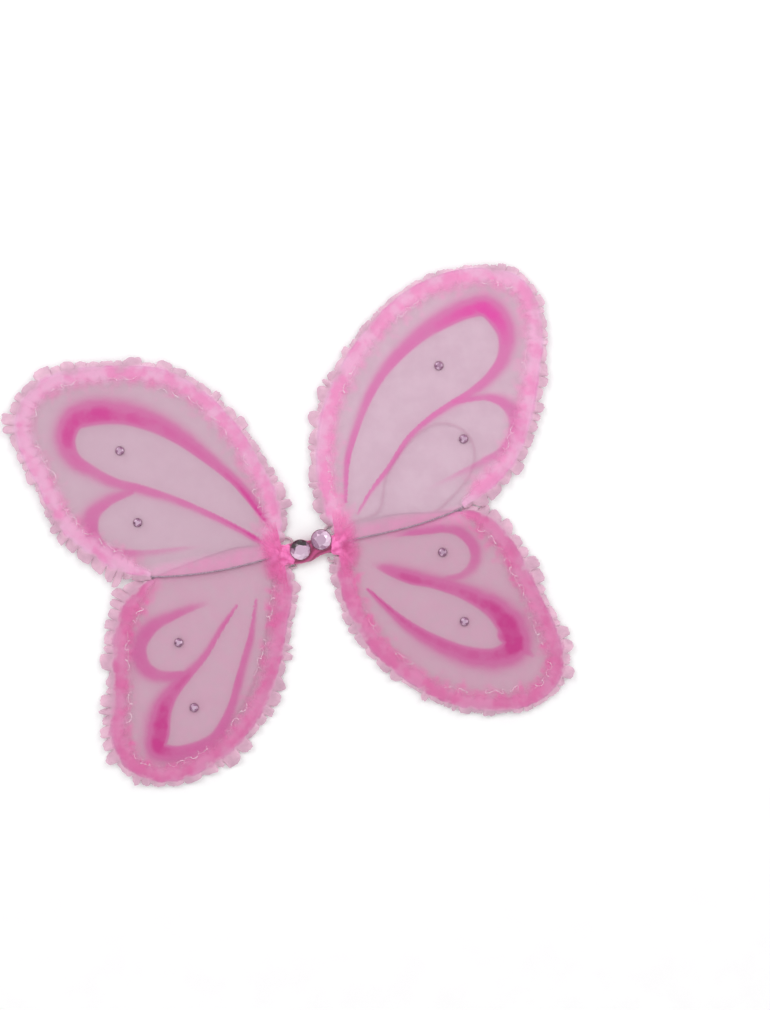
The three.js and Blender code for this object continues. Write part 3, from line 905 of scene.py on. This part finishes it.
# %% Necks
NECK_START, NECK_END = {"left": 0.0170, "right": 0.0205}, 0.0325
NECK_RINGS = 44
NECK_FADE = 0.006
for wing, side in SIDES.items():
    away = np.linspace(NECK_START[wing], NECK_END, NECK_RINGS)
    # The neck's folds are painted with shade and highlight, as on the satin wrap.
    neck = wrapped(
        f"{wing}_wing_neck",
        away,
        along_x(away, (16, 9.4), (17.5, 10.2), (22, 9.2), (26, 10), (32.5, 14.5)),
        along_x(away, (16, -0.4 if side < 0 else 1.0), (24, 0.2), (32.5, 0.5)),
        along_x(away, (16, 0.2), (23.5, 0.6), (32.5, 4.6)),
        along_x(away, (16, 9.0), (18, 9.3), (24, 8.9), (32.5, 7.2)),
        folds=9,
        twist=30,
        material=fan_cloth,
        depth=0.06,
        wavy=0.0009,
    )
    if side < 0:
        neck.data.transform(Matrix.Scale(-1, 4, (1, 0, 0)))
        neck.data.flip_normals()
    from_axis = np.abs(np.array([v.co.x for v in neck.data.vertices]))
    note(neck, "cover", np.clip((NECK_END - from_axis) / NECK_FADE, 0, 1))
    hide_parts(f"{wing}_wing_root_binding")
    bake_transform(neck)
print("two necks")

# %% [markdown]
# Two large acrylic stones are glued on the wrap and eight small ones on the nylon. A cut stone is a table, a crown of
# kites and triangles, and a girdle. Each face gets its own four or three points, so that it stays flat and can keep
# its own painted brightness. The light that the foil back reflects is painted into each face's colour according to the
# face's direction, as painted glints and painted dark facets.

# %% Foil-backed acrylic
acrylic, shader = new_look("foil_backed_acrylic", Metallic=0.25, Roughness=0.08, Coat_Weight=1.0, Coat_Roughness=0.03)
painted_glint = noted(acrylic, "painted_glint")
flaws = speckle(acrylic, 350, 3)
# Painted reflection: deep holds the painted shade of the dark facets, and bright holds the painted glint of the lit
# ones.
deep = mixed(acrylic, ranged(acrylic, painted_glint, 0.0, 0.35), rgb(34, 8, 24), rgb(158, 112, 146))
bright = mixed(acrylic, ranged(acrylic, painted_glint, 0.35, 1.0), deep, rgb(244, 216, 240))
finish_look(
    acrylic,
    shader,
    Base_Color=mixed(acrylic, ranged(acrylic, flaws, 0.55, 0.8, 0.0, 0.4), bright, rgb(206, 150, 190)),
    height=(flaws, 0.05, 0.0001),
)
print("material", acrylic.name)

# %% The cut of a stone
STONE_SIDES = 8
# each ring's radius and height, as shares of the stone's own
STONE_RINGS = {"table": (0.52, 1), "stars": (0.76, 0.78), "girdle": (1, 0.34), "edge": (1, 0.2), "back": (0.9, 0)}
SHADE_CHANCE = 0.14


def cut_faces(middle, radius, low, tall):
    """The faces of a round cut stone, each with its own points."""

    def ring(name, count, offset=0.0):
        wide, high = STONE_RINGS[name]
        angles = (np.arange(count) + offset) * 2 * math.pi / count
        return [(middle.x + radius * wide * math.cos(a), middle.y + radius * wide * math.sin(a), low + tall * high)
                for a in angles]

    sides, rims = STONE_SIDES, 2 * STONE_SIDES
    table, stars = ring("table", sides), ring("stars", sides, 0.5)
    girdle, edge, back = ring("girdle", rims), ring("edge", rims), ring("back", rims)
    faces = [table]
    for i in range(sides):
        after, before = (i + 1) % sides, (i - 1) % sides
        wide = [girdle[2 * i], girdle[2 * i + 1], girdle[(2 * i + 2) % rims]]
        faces += [[table[i], stars[i], table[after]], [table[i], stars[before], wide[0], stars[i]]]
        faces += [[stars[i], wide[0], wide[1]], [stars[i], wide[1], wide[2]]]
    for i in range(rims):
        after = (i + 1) % rims
        faces += [[girdle[i], edge[i], edge[after], girdle[after]], [edge[i], back[i], back[after], edge[after]]]
    return [*faces, back[::-1]]


def cut_stone(name, middle, radius, low, high, body, seed, glints, table_painted_glint):
    """A cut stone whose faces carry a painted reflection: each face's brightness is painted from its direction, and
    each face strays from it a little.
    """
    random = np.random.default_rng(seed)
    points, rows, painted_face_brightness = [], [], []
    for face in cut_faces(middle, radius, low, high - low):
        rows.append(list(range(len(points), len(points) + len(face))))
        points += face
        heart = np.mean(face, axis=0) - (middle.x, middle.y, low)
        central = np.linalg.norm(heart[:2]) < radius * 0.1
        # Each face's painted brightness, a painted reflection: fixed for the table, and set by direction for the other
        # faces.
        shade = table_painted_glint if central else glints(math.atan2(heart[1], heart[0]))
        shade += random.uniform(-SHADE_CHANCE, SHADE_CHANCE)
        painted_face_brightness += [min(max(shade, 0), 1)] * len(face)
    stone = make_piece(name, points, rows, acrylic, body, smooth=False)
    note(stone, "painted_glint", painted_face_brightness)
    return stone


print("a stone has", STONE_SIDES, "sides")

# %% Rims
rim_metal, shader = new_look("dark_rim", Metallic=0.6, Roughness=0.32)
tarnish = speckle(rim_metal, 800)
finish_look(
    rim_metal,
    shader,
    Base_Color=mixed(rim_metal, ranged(rim_metal, tarnish, 0.35, 0.7), rgb(120, 78, 104), rgb(166, 124, 148)),
    height=(tarnish, 0.2, 0.0001),
)
RIM_POINTS = 41


def rim(name, middle, radius, z, thick, body, material):
    """A thin ring round a stone's girdle."""
    turn = np.linspace(0, 2 * math.pi, RIM_POINTS)
    height = np.full(RIM_POINTS, z)
    line = np.column_stack([middle.x + radius * np.cos(turn), middle.y + radius * np.sin(turn), height])
    piece = tube(name, line, thick, material, body, sides=8)


print("material", rim_metal.name)


# %% Glued stones
def stand_stone(node, body, seed, glints, thick, table_painted_glint=0.55):
    """A cut stone and its rim in the place of a packed stone."""
    low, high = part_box(node)
    middle, radius = (low + high) / 2, (high.x - low.x) / 2 - thick
    stone = cut_stone(f"{node}_cut", middle, radius, low.z, high.z, body, seed, glints, table_painted_glint)
    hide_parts(node)
    metal = satin if body == "centre" else rim_metal
    rim(f"{node}_rim", middle, radius, low.z + thick * 0.8, thick, body, metal)


def left_painted_glints(a):
    """Painted reflection: painted shade at the top and a painted glint at the lower left."""
    return 0.62 - 1.05 * max(0, math.cos(a - 1.72)) ** 1.4 + 0.35 * max(0, math.cos(a + 2.2)) ** 4


def right_painted_glints(a):
    """Painted reflection: a painted glint at the right."""
    return 0.56 + 0.42 * max(0, math.cos(a + 0.2)) ** 2


def small_painted_glints(a):
    """Painted reflection: painted glints three times round."""
    return 0.5 + 0.25 * math.cos(3 * a)


GEM_RIM, SMALL_RIM = 0.0005, 0.0006
stand_stone("left_gem", "centre", 31, left_painted_glints, GEM_RIM)
stand_stone("right_gem", "centre", 32, right_painted_glints, GEM_RIM, table_painted_glint=0.7)
for seed, lobe in enumerate(lobes, 40):
    for number in (1, 2):
        node = f"{lobe.body}_{lobe.name}_stone_{number}"
        stand_stone(node, lobe.body, seed * 3 + number, small_painted_glints, SMALL_RIM)
print("ten stones")

# %% [markdown]
# The trim is held with clear hot glue, which dries in thin squiggles along its inner edge. Each squiggle is a tube
# that wanders about a line beside the wire and swells and thins as it goes. Clear glue is nearly invisible but for
# its glints, so it is mostly see-through and very smooth.

# %% Clear glue
glue, shader = new_look("clear_glue", Roughness=0.06, Coat_Weight=1.0, Coat_Roughness=0.02)
cloudy = speckle(glue, 300, 3)
finish_look(
    glue,
    shader,
    Base_Color=mixed(glue, ranged(glue, cloudy, 0.3, 0.7), rgb(255, 206, 232), rgb(255, 240, 248)),
    Alpha=ranged(glue, cloudy, 0.35, 0.75, 0.12, 0.5),
    height=(cloudy, 0.3, 0.0003),
)
print("material", glue.name)

# %% Squiggles along the trims
GLUE_RADIUS, GLUE_WANDER = 0.00038, 0.0016
GLUE_Z = 0.0027
GLUE_RUNS, GLUE_INSET = (0.02, 0.05), (0.011, 0.019)
GLUE_GAPS = {("right", "upper"): (0.04, 0.09), ("right", "lower"): (0.01, 0.04),
             ("left", "upper"): (0.005, 0.03), ("left", "lower"): (0.01, 0.04)}


def squiggle(name, lobe, start, run, inset, random):
    """A wandering tube of glue over the trim, from a start along the wire and at an inset from it."""
    steps = max(24, int(run / 0.0006))
    length = start + np.linspace(0, run, steps)
    a, b, c = random.uniform(0, 2 * math.pi, 3)
    turns = length * 2 * math.pi
    sway = np.sin(turns / 0.0125 + a) + 0.6 * np.sin(turns / 0.0071 + b)
    flat = lobe.beside(length + 0.0024 * np.sin(turns / 0.0093 + c), GLUE_WANDER * sway - inset)
    line = lobe.place(flat, np.full(steps, lobe.z + GLUE_Z))
    swell = 0.75 + 0.35 * np.sin(turns / 0.017 + b)
    piece = tube(name, line, GLUE_RADIUS, glue, lobe.body, sides=8, swell=swell)


count = 0
for seed, lobe in enumerate(lobes, 70):
    random = np.random.default_rng(seed)
    at = lobe.first + 0.01
    while at < lobe.last - 0.03:
        run, inset = random.uniform(*GLUE_RUNS), random.uniform(*GLUE_INSET)
        squiggle(f"{lobe.body}_{lobe.name}_glue_{count}", lobe, at, min(run, lobe.last - at), inset, random)
        at += run + random.uniform(*GLUE_GAPS[lobe.wing, lobe.name])
        count += 1
print("squiggles of glue:", count)

# %% [markdown]
# The last hidden piece is the core that the satin is wound on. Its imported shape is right, so it only gets a finish.

# %% Core
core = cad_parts["centre_core"]
core.data.materials.clear()
core.data.materials.append(sleeve)
print("core shown in", sleeve.name)

# %% [markdown]
# The wings lie on a plain pale table under two large soft lamps and a bright, even room. Big lamps close to the
# table make weak, blurred shadows, which keeps the sheer cloth light. Many sheer layers can lie over each other, so
# light may pass through more of them than usual before it stops.

# %% Table
paper, shader = new_look("pale_table", Roughness=0.9)
grain = ranged(paper, speckle(paper, 30), 0.3, 0.7)
finish_look(paper, shader, Base_Color=mixed(paper, grain, rgb(253, 252, 253), rgb(255, 255, 255)))
TABLE_HALF, BELOW_WINGS = 3.0, 0.0006
corners = [(x * TABLE_HALF, y * TABLE_HALF, 0) for x, y in ((-1, -1), (1, -1), (1, 1), (-1, 1))]
table = make_piece("table", corners, [(0, 1, 2, 3)], paper)
table.location.z = -BELOW_WINGS
print("table of", 2 * TABLE_HALF, "m")

# %% Lamps and room
LAMP_WIDTH, LAMP_DEPTH, LAMP_POWER = 1.4, 0.98, 9
ROOM_LIGHT = 0.83
SHEER_LAYERS, BOUNCES = 48, 8


def soft_lamp(name, place):
    """A large lamp that looks at the middle of the wings."""
    data = bpy.data.lights.new(name, "AREA")
    data.shape, data.size, data.size_y, data.energy = "RECTANGLE", LAMP_WIDTH, LAMP_DEPTH, LAMP_POWER
    lamp = bpy.data.objects.new(name, data)
    lamp.location = place
    lamp.rotation_euler = (-Vector(place)).to_track_quat("-Z", "Y").to_euler()
    scene.collection.objects.link(lamp)


soft_lamp("lamp_left", (-0.9, 1.2, 1.6))
soft_lamp("lamp_right", (1.3, 0.9, 1.6))
room = bpy.data.worlds.new("room")
room.use_nodes = True
room.node_tree.nodes["Background"].inputs["Color"].default_value = (1, 1, 1, 1)
room.node_tree.nodes["Background"].inputs["Strength"].default_value = ROOM_LIGHT
scene.world = room
scene.view_settings.view_transform = "Standard"
scene.cycles.transparent_max_bounces = SHEER_LAYERS
scene.cycles.max_bounces = BOUNCES
print("two lamps and a room")
